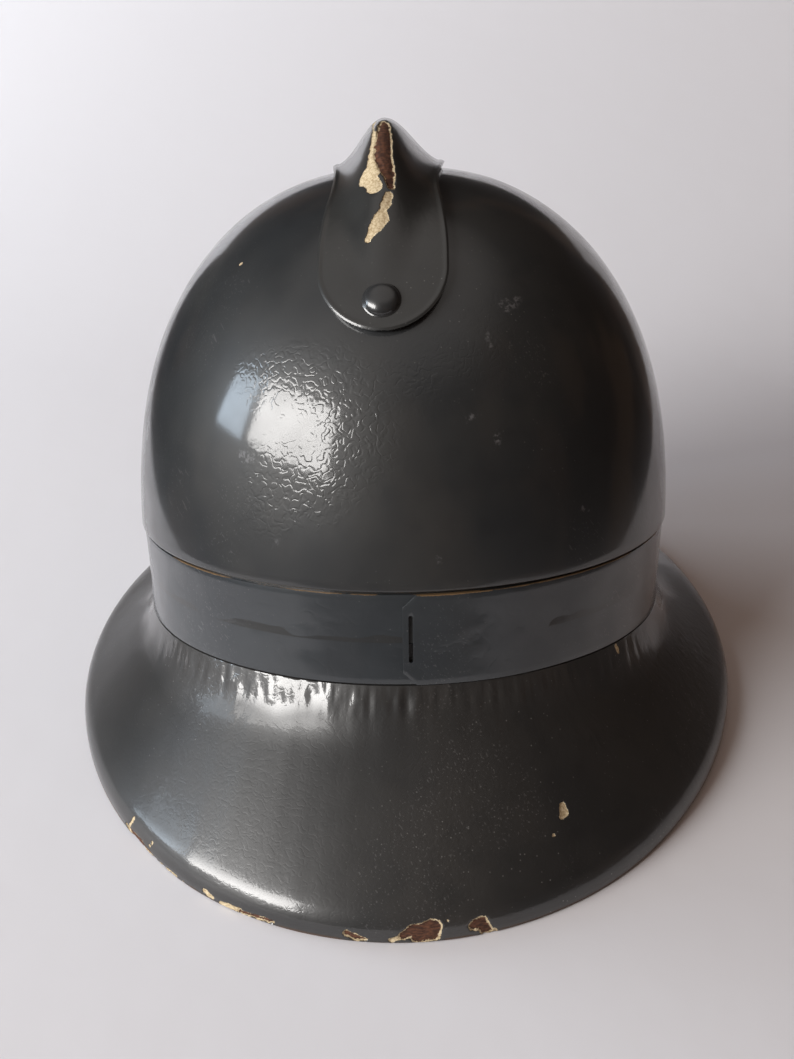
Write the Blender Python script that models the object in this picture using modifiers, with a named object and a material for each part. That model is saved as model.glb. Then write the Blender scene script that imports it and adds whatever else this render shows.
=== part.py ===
"""Hard helmet of pith helmet form: crown, sloping brim, lapped band, riveted comb.

Metres, +Z up. The origin is on the surface that the helmet rests on, under the middle of the brim.
The rear of the helmet, with the long neck guard, faces -Y. The crown, band, comb and rivets share
one axis, which leans towards the front, so their shapes are worked out along that axis.
"""
import math

import bmesh
import bpy
from mathutils import Matrix, Vector

# Crown
crown_half_width = 0.1020
crown_half_length = 0.1140
crown_height = 0.1312
crown_fullness = 2.285
crown_overhang = 0.0008
crown_lip_round = 0.0005
shell_wall = 0.0030
joggle_height = 0.0080

# Where the crown stands: the middle of its edge, above the middle of the brim
crown_lift = 0.0697
crown_setforward = 0.0090
crown_lean = math.radians(14.4)

# Band
band_height = 0.0328
band_thickness = 0.0008
band_taper = 0.985
lap_side_offset = 0.0040
lap_length = 0.0260
lap_ramp = 0.0300
lap_corner = 0.0045
slot_length = 0.0168
slot_width = 0.0014
slot_inset = 0.0027

# Brim
brim_half_width = 0.1306
brim_half_length = 0.1606
brim_wall = 0.0032
rim_edge = 0.0028
rim_flat = 0.0034
rim_chamfer = 0.0005
side_lift = 0.0031
side_lift_start = 0.50
collar_share = 0.55

# Comb
comb_half_length = 0.1127
comb_half_width = 0.0214
comb_wall = 0.0021
ridge_height = 0.0152
ridge_lean = 0.0014
comb_side_offset = -0.0039
comb_skew = math.radians(1.0)
comb_end_share = 0.776
comb_edge_round = 0.0006

# Rivets
rivet_inset = 0.0108
rivet_head_radius = 0.0060
rivet_head_height = 0.0030
rivet_shank_radius = 0.0025
rivet_tail_radius = 0.0048
rivet_tail_height = 0.0012
rivet_tail_gap = 0.0005

clearance = 0.0003
comb_clearance = 0.0004

# Fineness
around = 64
dome_steps = 14
comb_steps = 20
comb_end_steps = 5
comb_across = 14
rivet_sides = 20

# The flare of the brim from the band to the rim, as shares of its run outwards and its drop
flare_table = (
    # run, drop
    (0.000, 0.000),
    (0.050, 0.077),
    (0.110, 0.163),
    (0.170, 0.235),
    (0.240, 0.302),
    (0.370, 0.410),
    (0.544, 0.553),
    (0.700, 0.682),
    (0.835, 0.795),
    (0.920, 0.870),
    (0.960, 0.915),
    (0.988, 0.960),
    (1.000, 1.000),
)

# The comb from its middle to its end, as shares of its half length, half width and ridge height.
# spread is the share of the half width that the foot of the ridge takes.
comb_table = (
    # along, width, ridge, spread
    (0.00, 0.960, 1.00, 1.00),
    (0.12, 0.920, 0.97, 1.00),
    (0.25, 0.870, 0.86, 1.00),
    (0.38, 0.860, 0.67, 0.98),
    (0.52, 0.930, 0.43, 0.90),
    (0.66, 0.990, 0.20, 0.75),
    (0.776, 1.00, 0.05, 0.60),
    (0.84, 1.000, 0.00, 0.50),
    (1.00, 1.000, 0.00, 0.50),
)

length_ratio = crown_half_length / crown_half_width
skirt_radius = crown_half_width - band_thickness - clearance
dome_radius = crown_half_width + crown_overhang
seam_height = -band_height * collar_share


def clear_scene():
    for item in list(bpy.data.objects):
        bpy.data.objects.remove(item, do_unlink=True)


def make_collection(name):
    collection = bpy.data.collections.new(name)
    bpy.context.scene.collection.children.link(collection)
    return collection


def make_paint(name, colour, roughness, metallic=0.0):
    material = bpy.data.materials.new(name)
    material.use_nodes = True
    shader = material.node_tree.nodes["Principled BSDF"]
    shader.inputs["Base Color"].default_value = (*colour, 1.0)
    shader.inputs["Roughness"].default_value = roughness
    shader.inputs["Metallic"].default_value = metallic
    return material


def add_piece(name, mesh, material, collection, parent=None):
    """Link a mesh as a named piece, shaded smooth except at its sharp edges."""
    piece = bpy.data.objects.new(name, mesh)
    collection.objects.link(piece)
    piece.parent = parent
    if material is not None:
        mesh.materials.append(material)
    if mesh.polygons:
        mesh.shade_smooth()
        mesh.set_sharp_from_angle(angle=math.radians(35))
    return piece


def ring_point(angle, radius, height):
    """A point of an oval about the crown's axis; radius is measured to the side, angle 0 is the rear."""
    return Vector((radius * math.sin(angle), -radius * length_ratio * math.cos(angle), height))


def taper_at(height):
    """How much narrower the band and what lies behind it are at a height under the crown's edge."""
    return 1.0 + (1.0 - band_taper) * height / band_height


def loft_loops(name, loops, closed_ends):
    """Skin a row of closed loops with equal point counts; the row closes on itself or is capped."""
    form = bmesh.new()
    rings = []
    for loop in loops:
        rings.append([form.verts.new(point) for point in loop])
    pairs = list(zip(rings, rings[1:]))
    if not closed_ends:
        pairs.append((rings[-1], rings[0]))
    for ring, following in pairs:
        for index in range(len(ring)):
            after = (index + 1) % len(ring)
            form.faces.new((ring[index], ring[after], following[after], following[index]))
    if closed_ends:
        form.faces.new(rings[0])
        form.faces.new(reversed(rings[-1]))
    bmesh.ops.recalc_face_normals(form, faces=form.faces)
    mesh = bpy.data.meshes.new(name)
    form.to_mesh(mesh)
    form.free()
    return mesh


def interpolate(table, place, column):
    """Read one column of a table at a place along its first column."""
    for row, following in zip(table, table[1:]):
        if place <= following[0]:
            share = (place - row[0]) / (following[0] - row[0])
            return row[column] + (following[column] - row[column]) * share
    return table[-1][column]


def smooth_step(value):
    value = min(max(value, 0.0), 1.0)
    return value * value * (3.0 - 2.0 * value)


def dome_curve(radius, height, lowest, steps):
    """Quarter of a superellipse, from the top on the axis down to a lowest height."""
    first_rise = math.asin((lowest / height) ** (crown_fullness / 2.0)) if lowest > 0 else 0.0
    points = []
    for step in range(steps + 1):
        rise = math.pi / 2 + (first_rise - math.pi / 2) * step / steps
        across = radius * max(math.cos(rise), 0.0) ** (2.0 / crown_fullness)
        points.append((across, height * math.sin(rise) ** (2.0 / crown_fullness)))
    points[0] = (0.0, height)
    return points


def turned_piece(name, profile, steps, material, collection, parent):
    """A profile of (radius, height) pairs, outer side from top to bottom, turned about Z."""
    mesh = bpy.data.meshes.new(name)
    points = [(radius, 0.0, height) for radius, height in profile]
    edges = [(index, index + 1) for index in range(len(points) - 1)]
    mesh.from_pydata(points, edges, [])
    piece = add_piece(name, mesh, material, collection, parent)
    screw = piece.modifiers.new("turn", "SCREW")
    screw.steps = steps
    screw.render_steps = steps
    screw.use_merge_vertices = True
    screw.merge_threshold = 0.00001
    return piece


def cut_with(piece, cutter):
    cut = piece.modifiers.new("cut_" + cutter.name, "BOOLEAN")
    cut.operation = "DIFFERENCE"
    cut.solver = "EXACT"
    cut.object = cutter


def make_crown(material, collection, axis):
    """Domed shell whose wall steps in behind the band."""
    outer = dome_curve(dome_radius, crown_height, 0.0, dome_steps)
    outer[-1] = (dome_radius, crown_lip_round)
    lip = [(dome_radius - crown_lip_round, 0.0), (skirt_radius, 0.0)]
    skirt_foot = skirt_radius * taper_at(seam_height)
    skirt = [(skirt_foot, seam_height), (skirt_foot - shell_wall, seam_height)]
    inner_foot = [(skirt_radius - shell_wall, 0.0)]
    inner = dome_curve(dome_radius - shell_wall, crown_height - shell_wall, joggle_height, dome_steps - 3)
    profile = outer + lip + skirt + inner_foot + inner[::-1]
    crown = turned_piece("crown", profile, around, material, collection, axis)
    crown.scale.y = length_ratio
    return crown


def rim_height(angle):
    """The rim lies flat at the rear and front and lifts a little at the sides."""
    side = abs(math.sin(angle))
    return side_lift * smooth_step((side - side_lift_start) / (1.0 - side_lift_start))


def flare(start, end, share_run, share_drop):
    """A point between the foot of the band and the rim, by its shares of the run and the drop."""
    return Vector((
        start.x + (end.x - start.x) * share_run,
        start.y + (end.y - start.y) * share_run,
        start.z + (end.z - start.z) * share_drop,
    ))


def brim_section(angle, place_crown):
    """One closed section of the brim: collar, outer flare, rim, inner flare."""
    foot = -band_height - clearance
    collar_top = seam_height - clearance
    outer_collar = [
        place_crown @ ring_point(angle, skirt_radius * taper_at(height), height)
        for height in (collar_top, foot)
    ]
    band_foot = crown_half_width * band_taper
    outer_start = place_crown @ ring_point(angle, band_foot, foot - clearance)
    inner_radius = skirt_radius * band_taper - brim_wall
    inner_start = place_crown @ ring_point(angle, inner_radius, foot - brim_wall)
    inner_top = place_crown @ ring_point(angle, skirt_radius * taper_at(collar_top) - brim_wall, collar_top)

    low = rim_height(angle)

    def rim_point(inset, height):
        across = (brim_half_width - inset) * math.sin(angle)
        along = -(brim_half_length - inset) * math.cos(angle)
        return Vector((across, along, low + height))

    outer_end = rim_point(0.0, rim_edge)
    inner_end = rim_point(rim_flat, 0.0)
    outer = [flare(outer_start, outer_end, run, drop) for run, drop in flare_table]
    inner = [flare(inner_start, inner_end, run, drop) for run, drop in flare_table[::2]]
    edge = [rim_point(0.0, rim_chamfer), rim_point(rim_chamfer, 0.0)]
    return outer_collar + outer + edge + inner[::-1] + [inner_top]


def make_brim(material, collection, place_crown):
    """Skirt lofted from the leaning oval of the band to the level oval of the rim."""
    loops = [brim_section(2.0 * math.pi * step / around, place_crown) for step in range(around)]
    mesh = loft_loops("brim", loops, closed_ends=False)
    return add_piece("brim", mesh, material, collection)


def band_section(angle, turned):
    """One section of the band at an angle, after a given angle has been turned from its free end."""
    arc = turned * crown_half_width
    under_lap = 1.0 - smooth_step((arc - lap_length - lap_corner) / lap_ramp)
    lift = (band_thickness + clearance) * under_lap
    corner = lap_corner * max(0.0, 1.0 - arc / lap_corner)
    top = -clearance - corner
    foot = -band_height + corner
    section = []
    for inset, height in ((0.0, top), (0.0, foot), (band_thickness, foot), (band_thickness, top)):
        radius = crown_half_width * taper_at(height) - inset + lift
        section.append(ring_point(angle, radius, height))
    return section


def lap_angle():
    return math.asin(lap_side_offset / crown_half_width)


def make_band(material, collection, axis, cutters):
    """Strip that runs round the crown and over its own end at the rear, with a slot in the lap."""
    corner_turn = lap_corner / crown_half_width
    full_turn = 2.0 * math.pi + lap_length / crown_half_width
    steps = around + 4
    turns = [0.0, corner_turn]
    turns += [corner_turn + (full_turn - corner_turn) * step / steps for step in range(1, steps + 1)]
    loops = [band_section(lap_angle() + turned, turned) for turned in turns]
    mesh = loft_loops("band", loops, closed_ends=True)
    band = add_piece("band", mesh, material, collection, axis)

    slot_angle = lap_angle() + slot_inset / crown_half_width
    slot_centre = ring_point(slot_angle, crown_half_width, -band_height / 2.0)
    slot_depth = 6.0 * (band_thickness + clearance)
    box = bmesh.new()
    bmesh.ops.create_cube(box, size=1.0)
    bmesh.ops.scale(box, vec=(slot_width, slot_depth, slot_length), verts=box.verts)
    mesh = bpy.data.meshes.new("slot_cutter")
    box.to_mesh(mesh)
    box.free()
    cutter = add_piece("slot_cutter", mesh, None, cutters, axis)
    cutter.location = slot_centre
    cutter.hide_render = True
    cutter.display_type = "WIRE"
    cut_with(band, cutter)
    return band


def crown_level(point, radius, height):
    """Below 1 inside the dome of that size, above 1 outside it."""
    plan = math.hypot(point.x / radius, point.y / (radius * length_ratio))
    return plan ** crown_fullness + max(point.z / height, 0.0) ** crown_fullness


def crown_normal(point):
    """Outward direction of the dome's outer face."""
    radius = dome_radius
    plan = max(math.hypot(point.x / radius, point.y / (radius * length_ratio)), 1e-6)
    pull = plan ** (crown_fullness - 2.0)
    return Vector((
        pull * point.x / radius ** 2,
        pull * point.y / (radius * length_ratio) ** 2,
        (point.z / crown_height) ** (crown_fullness - 1.0) / crown_height,
    )).normalized()


def drop_onto_dome(start, direction, radius, height, reach):
    """The point where a line from outside meets the dome of that size."""
    near, far = 0.0, reach
    for _ in range(40):
        middle = (near + far) / 2.0
        if crown_level(start + direction * middle, radius, height) > 1.0:
            near = middle
        else:
            far = middle
    return start + direction * near


def crown_centre_arc():
    """Distances along the dome's middle line, from the top towards the edge, with their points."""
    fine = 400
    points = dome_curve(dome_radius * length_ratio, crown_height, 0.0, fine)
    rows = [(0.0, *points[0])]
    for before, after in zip(points, points[1:]):
        rows.append((rows[-1][0] + math.dist(before, after), *after))
    return rows


def comb_frame(along, arc_rows):
    """Point on the dome's middle line at a signed distance from the top, with its outward direction."""
    reach = interpolate(arc_rows, abs(along), 1)
    height = interpolate(arc_rows, abs(along), 2)
    side = 1.0 if along > 0.0 else -1.0
    point = Vector((0.0, side * reach, height))
    return point, crown_normal(point)


def comb_point(along, across, arc_rows):
    """A point of the comb's outer face: along and across are distances on the dome."""
    base, outward = comb_frame(along, arc_rows)
    centre_shift = comb_side_offset - math.tan(comb_skew) * base.y
    start = base + Vector((centre_shift + across, 0.0, 0.0)) + outward * comb_half_width
    on_dome = drop_onto_dome(start, -outward, dome_radius, crown_height, 3.0 * comb_half_width)
    seat = on_dome + crown_normal(on_dome) * (comb_clearance + comb_wall)

    place = abs(along) / comb_half_length
    ridge = ridge_height * interpolate(comb_table, place, 2)
    foot = comb_half_width * interpolate(comb_table, place, 1) * interpolate(comb_table, place, 3)
    share = min(abs(across) / foot, 1.0)
    bell = (0.5 + 0.5 * math.cos(math.pi * share)) ** 1.1
    lean = Vector((-ridge_lean * bell * ridge / ridge_height, 0.0, 0.0))
    return seat + outward * ridge * bell + lean


def comb_stations():
    """Distances along the comb with the half width at each, its ends rounded off."""
    straight = comb_half_length * comb_end_share
    stations = []
    for step in range(-comb_steps // 2, comb_steps // 2 + 1):
        along = straight * step / (comb_steps / 2)
        stations.append((along, comb_half_width * interpolate(comb_table, abs(along) / comb_half_length, 1)))
    for step in range(1, comb_end_steps + 1):
        turn = math.radians(84) * step / comb_end_steps
        along = straight + (comb_half_length - straight) * math.sin(turn)
        width = comb_half_width * math.cos(turn)
        stations.append((along, width))
        stations.insert(0, (-along, width))
    return stations


def make_comb(material, collection, axis, holes):
    """Pressed saddle over the top of the crown, hollow under its ridge."""
    arc_rows = crown_centre_arc()
    form = bmesh.new()
    rows = []
    for along, half_width in comb_stations():
        row = []
        for step in range(comb_across + 1):
            across = half_width * (2.0 * step / comb_across - 1.0)
            row.append(form.verts.new(comb_point(along, across, arc_rows)))
        rows.append(row)
    for row, following in zip(rows, rows[1:]):
        for index in range(comb_across):
            form.faces.new((row[index], row[index + 1], following[index + 1], following[index]))
    bmesh.ops.recalc_face_normals(form, faces=form.faces)
    top_face = max(form.faces, key=lambda face: face.calc_center_median().z)
    if top_face.normal.z < 0.0:
        bmesh.ops.reverse_faces(form, faces=form.faces)
    mesh = bpy.data.meshes.new("comb")
    form.to_mesh(mesh)
    form.free()
    comb = add_piece("comb", mesh, material, collection, axis)
    wall = comb.modifiers.new("wall", "SOLIDIFY")
    wall.thickness = comb_wall
    wall.offset = -1.0
    wall.use_even_offset = True
    edge = comb.modifiers.new("edge", "BEVEL")
    edge.width = comb_edge_round
    edge.segments = 1
    edge.limit_method = "ANGLE"
    edge.angle_limit = math.radians(50)
    for hole in holes:
        cut_with(comb, hole)
    return comb


def rivet_place(side):
    """Where a rivet's axis meets the dome, and its outward direction. side -1 is the rear, 1 the front."""
    arc_rows = crown_centre_arc()
    along = side * (comb_half_length - rivet_inset)
    base, outward = comb_frame(along, arc_rows)
    shift = comb_side_offset - math.tan(comb_skew) * base.y
    start = base + Vector((shift, 0.0, 0.0)) + outward * comb_half_width
    point = drop_onto_dome(start, -outward, dome_radius, crown_height, 3.0 * comb_half_width)
    return point, crown_normal(point)


def rivet_wall(point, outward):
    """How thick the crown is along a rivet's axis."""
    inner_radius = dome_radius - shell_wall
    inner_height = crown_height - shell_wall
    inner = drop_onto_dome(point, -outward, inner_radius, inner_height, 6.0 * shell_wall)
    return (inner - point).length


def place_along(piece, point, outward):
    piece.location = point
    piece.rotation_euler = outward.to_track_quat("Z", "Y").to_euler()


def make_rivet_hole(name, side, cutters, axis):
    """Cylinder that clears a rivet's shank through the comb and the crown."""
    point, outward = rivet_place(side)
    depth = 2.0 * (rivet_wall(point, outward) + comb_wall + comb_clearance + rivet_head_height)
    form = bmesh.new()
    radius = rivet_shank_radius + clearance
    bmesh.ops.create_cone(
        form, cap_ends=True, segments=rivet_sides, radius1=radius, radius2=radius, depth=depth
    )
    mesh = bpy.data.meshes.new(name)
    form.to_mesh(mesh)
    form.free()
    cutter = add_piece(name, mesh, None, cutters, axis)
    place_along(cutter, point, outward)
    cutter.hide_render = True
    cutter.display_type = "WIRE"
    return cutter


def make_rivet(name, side, material, collection, axis):
    """Domed head on the comb, shank through both shells, flat tail inside the crown."""
    point, outward = rivet_place(side)
    head_seat = comb_clearance + comb_wall + clearance
    tail_sag = rivet_tail_radius ** 2 / crown_half_width
    tail_seat = -rivet_wall(point, outward) - tail_sag - rivet_tail_gap
    profile = []
    head_steps = 5
    for step in range(head_steps + 1):
        turn = math.pi / 2 * step / head_steps
        profile.append((rivet_head_radius * math.sin(turn), head_seat + rivet_head_height * math.cos(turn)))
    profile += [
        (rivet_shank_radius, head_seat),
        (rivet_shank_radius, tail_seat),
        (rivet_tail_radius, tail_seat),
        (rivet_tail_radius, tail_seat - rivet_tail_height),
        (0.0, tail_seat - rivet_tail_height),
    ]
    rivet = turned_piece(name, profile, rivet_sides, material, collection, axis)
    place_along(rivet, point, outward)
    return rivet


def make_helmet():
    clear_scene()
    parts = make_collection("riveted_helmet")
    cutters = make_collection("cutters")

    shell_paint = make_paint("shell_paint", (0.040, 0.043, 0.045), 0.22)
    band_paint = make_paint("band_paint", (0.044, 0.052, 0.058), 0.30)
    comb_paint = make_paint("comb_paint", (0.045, 0.046, 0.047), 0.28)
    rivet_paint = make_paint("rivet_paint", (0.045, 0.047, 0.048), 0.25)

    axis = bpy.data.objects.new("crown_axis", None)
    parts.objects.link(axis)
    axis.location = (0.0, crown_setforward, crown_lift)
    axis.rotation_euler = (-crown_lean, 0.0, 0.0)
    place_crown = Matrix.Translation(axis.location) @ Matrix.Rotation(-crown_lean, 4, "X")

    rear_hole = make_rivet_hole("rear_hole", -1, cutters, axis)
    front_hole = make_rivet_hole("front_hole", 1, cutters, axis)

    crown = make_crown(shell_paint, parts, axis)
    cut_with(crown, rear_hole)
    cut_with(crown, front_hole)
    make_brim(shell_paint, parts, place_crown)
    make_band(band_paint, parts, axis, cutters)
    make_comb(comb_paint, parts, axis, (rear_hole, front_hole))
    make_rivet("rear_rivet", -1, rivet_paint, parts, axis)
    make_rivet("front_rivet", 1, rivet_paint, parts, axis)


make_helmet()
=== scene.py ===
import math
from bisect import bisect_left

import bmesh
import bpy
from mathutils import Matrix, Vector, noise
from mathutils.bvhtree import BVHTree


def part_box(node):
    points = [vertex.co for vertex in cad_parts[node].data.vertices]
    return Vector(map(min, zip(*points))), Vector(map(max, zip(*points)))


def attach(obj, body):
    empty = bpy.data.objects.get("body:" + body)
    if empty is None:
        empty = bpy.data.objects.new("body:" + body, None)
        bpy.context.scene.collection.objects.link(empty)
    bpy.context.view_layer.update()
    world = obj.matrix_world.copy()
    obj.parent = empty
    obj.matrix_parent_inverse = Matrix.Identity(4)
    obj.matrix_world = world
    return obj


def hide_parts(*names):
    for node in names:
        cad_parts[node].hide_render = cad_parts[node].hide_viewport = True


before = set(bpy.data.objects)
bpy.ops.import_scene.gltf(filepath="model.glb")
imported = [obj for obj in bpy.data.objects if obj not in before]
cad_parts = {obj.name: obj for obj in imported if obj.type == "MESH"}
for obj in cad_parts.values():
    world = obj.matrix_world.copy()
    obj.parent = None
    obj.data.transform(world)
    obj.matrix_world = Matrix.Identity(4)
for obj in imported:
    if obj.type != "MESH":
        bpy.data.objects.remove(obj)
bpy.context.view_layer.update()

# Camera: held level with the helmet's rear, about thirty degrees above the table.
# Its place comes from the ovals of the crown's edge, the band and the rim as the photo shows them.
photo_width = 794
photo_height = 1059
focal_pixels = 1500
sensor_size = 36.0
camera_place = (0.0253, -0.5142, 0.3634)
camera_turn = tuple(math.radians(angle) for angle in (59.71, 1.39, 2.288))

bpy.ops.object.select_all(action="DESELECT")
bpy.ops.object.camera_add(location=camera_place, rotation=camera_turn)
camera = bpy.context.object
camera.data.sensor_width = sensor_size
camera.data.lens = focal_pixels * sensor_size / photo_height
bpy.context.scene.camera = camera
bpy.context.view_layer.update()


def sight_line(across, down):
    """The direction in which the camera sees a pixel of the photo."""
    aim = Vector((across - photo_width / 2, photo_height / 2 - down, -focal_pixels))
    return (camera.matrix_world.to_3x3() @ aim).normalized()


def seen_points(piece, pixels):
    """Where the lines of sight through pixels of the photo first meet a piece."""
    tree = BVHTree.FromObject(piece, bpy.context.evaluated_depsgraph_get())
    found = []
    for across, down in pixels:
        hit, _, _, _ = tree.ray_cast(camera.matrix_world.translation, sight_line(across, down))
        found.append(hit)
    return found


# Crown: a tall dome of moulded fibre, filled, rubbed down and painted. Its lower edge stands a little
# proud of the band, and below it the wall steps in behind the band. The inside is bare brown fibre.
crown_low, crown_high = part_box("crown")
dome_radius = (crown_high.x - crown_low.x) / 2
crown_overhang = 0.0008
clearance = 0.0003
band_thickness = 0.0008
band_radius = dome_radius - crown_overhang
length_ratio = 0.1140 / 0.1020
crown_height = 0.1312
crown_fullness = 2.285
crown_lean = math.radians(14.4)
crown_place = Vector((0.0, 0.0090, 0.0697))
shell_wall = 0.0030
skirt_radius = band_radius - band_thickness - clearance
skirt_depth = 0.0180
crown_sides = 288


def dome_curve(radius, height, lowest, steps):
    """Quarter of a superellipse from the top down to a lowest height, as (radius, height) pairs."""
    first_rise = math.asin((lowest / height) ** (crown_fullness / 2)) if lowest > 0 else 0.0
    points = []
    for step in range(steps + 1):
        rise = math.pi / 2 + (first_rise - math.pi / 2) * step / steps
        across = radius * max(math.cos(rise), 0.0) ** (2 / crown_fullness)
        points.append((across, height * math.sin(rise) ** (2 / crown_fullness)))
    points[0] = (0.0, height)
    return points


def face_outwards(merge):
    """Turn the faces of the active piece outwards, after merging its doubles where asked."""
    bpy.ops.object.mode_set(mode="EDIT")
    bpy.ops.mesh.select_all(action="SELECT")
    if merge:
        bpy.ops.mesh.remove_doubles(threshold=0.000001)
    bpy.ops.mesh.normals_make_consistent(inside=False)
    bpy.ops.object.mode_set(mode="OBJECT")


def turn_profile(name, profile, sides):
    """Draw a profile of (radius, height) pairs out of one vertex and spin it about the upright axis."""
    bpy.ops.object.select_all(action="DESELECT")
    radius, height = profile[0]
    bpy.ops.mesh.primitive_plane_add(size=0.001, location=(radius, 0.0, height))
    piece = bpy.context.object
    piece.name = piece.data.name = name
    bpy.ops.object.transform_apply(location=True, rotation=True, scale=True)
    bpy.ops.object.mode_set(mode="EDIT")
    bpy.ops.mesh.select_all(action="SELECT")
    bpy.ops.mesh.merge(type="CENTER")
    for before, after in zip(profile, profile[1:]):
        step = (after[0] - before[0], 0.0, after[1] - before[1])
        bpy.ops.mesh.extrude_region_move(TRANSFORM_OT_translate={"value": step})
    bpy.ops.mesh.select_all(action="SELECT")
    bpy.ops.mesh.spin(steps=sides, angle=math.tau, center=(0, 0, 0), axis=(0, 0, 1))
    bpy.ops.object.mode_set(mode="OBJECT")
    face_outwards(merge=True)
    return piece


def pick(piece):
    """Select a piece alone and make it active."""
    bpy.ops.object.select_all(action="DESELECT")
    piece.select_set(True)
    bpy.context.view_layer.objects.active = piece


def apply_modifiers(piece):
    pick(piece)
    for modifier in list(piece.modifiers):
        bpy.ops.object.modifier_apply(modifier=modifier.name)


def settle(piece, place=(0, 0, 0), turn=(0, 0, 0)):
    """Put a piece in its place and write the place into its mesh."""
    pick(piece)
    piece.location = place
    piece.rotation_euler = turn
    bpy.ops.object.transform_apply(location=True, rotation=True, scale=True)


def stand_on_axis(piece):
    """Lean a piece that was made about the upright axis forwards with the crown."""
    settle(piece, crown_place, (-crown_lean, 0, 0))


def smooth(piece, degrees):
    pick(piece)
    bpy.ops.object.shade_smooth_by_angle(angle=math.radians(degrees))


def sway_surface(piece, name, size, depth, weight):
    """Low waves of hand-rubbed filler: displace along the normals, by a weight for each vertex."""
    group = piece.vertex_groups.new(name=name)
    for vertex in piece.data.vertices:
        group.add([vertex.index], weight(vertex.co), "REPLACE")
    clouds = bpy.data.textures.new(name, "CLOUDS")
    clouds.noise_scale = size
    clouds.noise_depth = 1
    sway = piece.modifiers.new(name, "DISPLACE")
    sway.texture = clouds
    sway.texture_coords = "LOCAL"
    sway.strength = depth
    sway.mid_level = 0.5
    sway.vertex_group = group.name
    apply_modifiers(piece)


def write_values(piece, name, values):
    attribute = piece.data.attributes.new(name, "FLOAT", "POINT")
    attribute.data.foreach_set("value", values)


def mark_inside(piece, looks_out):
    """An attribute that is 1 on the faces that look inwards and 0 on the others."""
    write_values(piece, "inside", [0.0 if looks_out(vertex) else 1.0 for vertex in piece.data.vertices])


outer = dome_curve(dome_radius, crown_height, 0.0, 90)
lip_round = 0.0009
lip = [(dome_radius - lip_round * (1 - math.cos(turn)), lip_round * (1 - math.sin(turn)))
       for turn in (math.radians(angle) for angle in (0, 22, 45, 68, 90))]
outer = [point for point in outer if point[1] > lip_round * 1.5] + lip
skirt = [(skirt_radius, 0.0), (skirt_radius, -skirt_depth), (skirt_radius - shell_wall, -skirt_depth)]
inner = dome_curve(dome_radius - shell_wall, crown_height - shell_wall, 0.0080, 40)
crown_shell = turn_profile("crown_shell", outer + skirt + [(skirt_radius - shell_wall, 0.0)] + inner[::-1],
                           crown_sides)
crown_shell.scale = (1, length_ratio, 1)
settle(crown_shell)
sway_surface(crown_shell, "filler_waves", 0.045, 0.0005,
             lambda point: min(max((point.z - 0.006) / 0.03, 0.0), 1.0))
mark_inside(crown_shell, lambda vertex: vertex.co.dot(vertex.normal) > -0.01 * vertex.co.length
            or vertex.co.z < -0.001)
stand_on_axis(crown_shell)


def place_node(tree, kind, settings=(), **sockets):
    """Add a node, set its properties, and set or link the sockets named by the other arguments."""
    node = tree.nodes.new(kind)
    for key, value in dict(settings).items():
        setattr(node, key, value)
    for key, value in sockets.items():
        socket = node.inputs[key.replace("_", " ")]
        if isinstance(value, bpy.types.NodeSocket):
            tree.links.new(value, socket)
        else:
            socket.default_value = value
    return node


def reckon(tree, operation, *values):
    """A Math node on numbers or sockets; gives its output."""
    node = tree.nodes.new("ShaderNodeMath")
    node.operation = operation
    for socket, value in zip(node.inputs, values):
        if isinstance(value, bpy.types.NodeSocket):
            tree.links.new(value, socket)
        else:
            socket.default_value = value
    return node.outputs["Value"]


def times(tree, first, second):
    return reckon(tree, "MULTIPLY", first, second)


def stretch(tree, vector, scale):
    """A Mapping node that scales a vector; gives its output."""
    return place_node(tree, "ShaderNodeMapping", Vector=vector, Scale=scale).outputs["Vector"]


def cloud(tree, vector, scale, detail=2.0, distortion=0.0):
    """A Noise Texture's factor."""
    return place_node(tree, "ShaderNodeTexNoise", Vector=vector, Scale=scale, Detail=detail,
                      Distortion=distortion).outputs["Fac"]


def ramp(tree, value, low, high, to_low=0.0, to_high=1.0):
    """A smooth Map Range node from low..high to to_low..to_high."""
    node = tree.nodes.new("ShaderNodeMapRange")
    node.interpolation_type = "SMOOTHSTEP"
    for socket, number in zip(list(node.inputs)[1:5], (low, high, to_low, to_high)):
        socket.default_value = number
    tree.links.new(value, node.inputs["Value"])
    return node.outputs["Result"]


def blend_colours(tree, factor, first, second):
    """A Mix node on colours; gives its output."""
    node = tree.nodes.new("ShaderNodeMix")
    node.data_type = "RGBA"
    sockets = (node.inputs[0], node.inputs[6], node.inputs[7])
    for socket, value in zip(sockets, (factor, first, second)):
        if isinstance(value, bpy.types.NodeSocket):
            tree.links.new(value, socket)
        elif isinstance(value, (int, float)):
            socket.default_value = value
        else:
            socket.default_value = (*value, 1.0)
    return node.outputs[2]


def new_group(name, inputs, outputs):
    """An empty shader node group with named sockets; gives the tree and its two end nodes."""
    tree = bpy.data.node_groups.new(name, "ShaderNodeTree")
    for socket_name, kind, value in inputs:
        socket = tree.interface.new_socket(socket_name, in_out="INPUT", socket_type=kind)
        if value is not None:
            socket.default_value = value
    for socket_name, kind in outputs:
        tree.interface.new_socket(socket_name, in_out="OUTPUT", socket_type=kind)
    start = tree.nodes.new("NodeGroupInput")
    end = tree.nodes.new("NodeGroupOutput")
    return tree, start, end


def use_group(tree, group, **sockets):
    return place_node(tree, "ShaderNodeGroup", {"node_tree": group}, **sockets)


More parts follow.
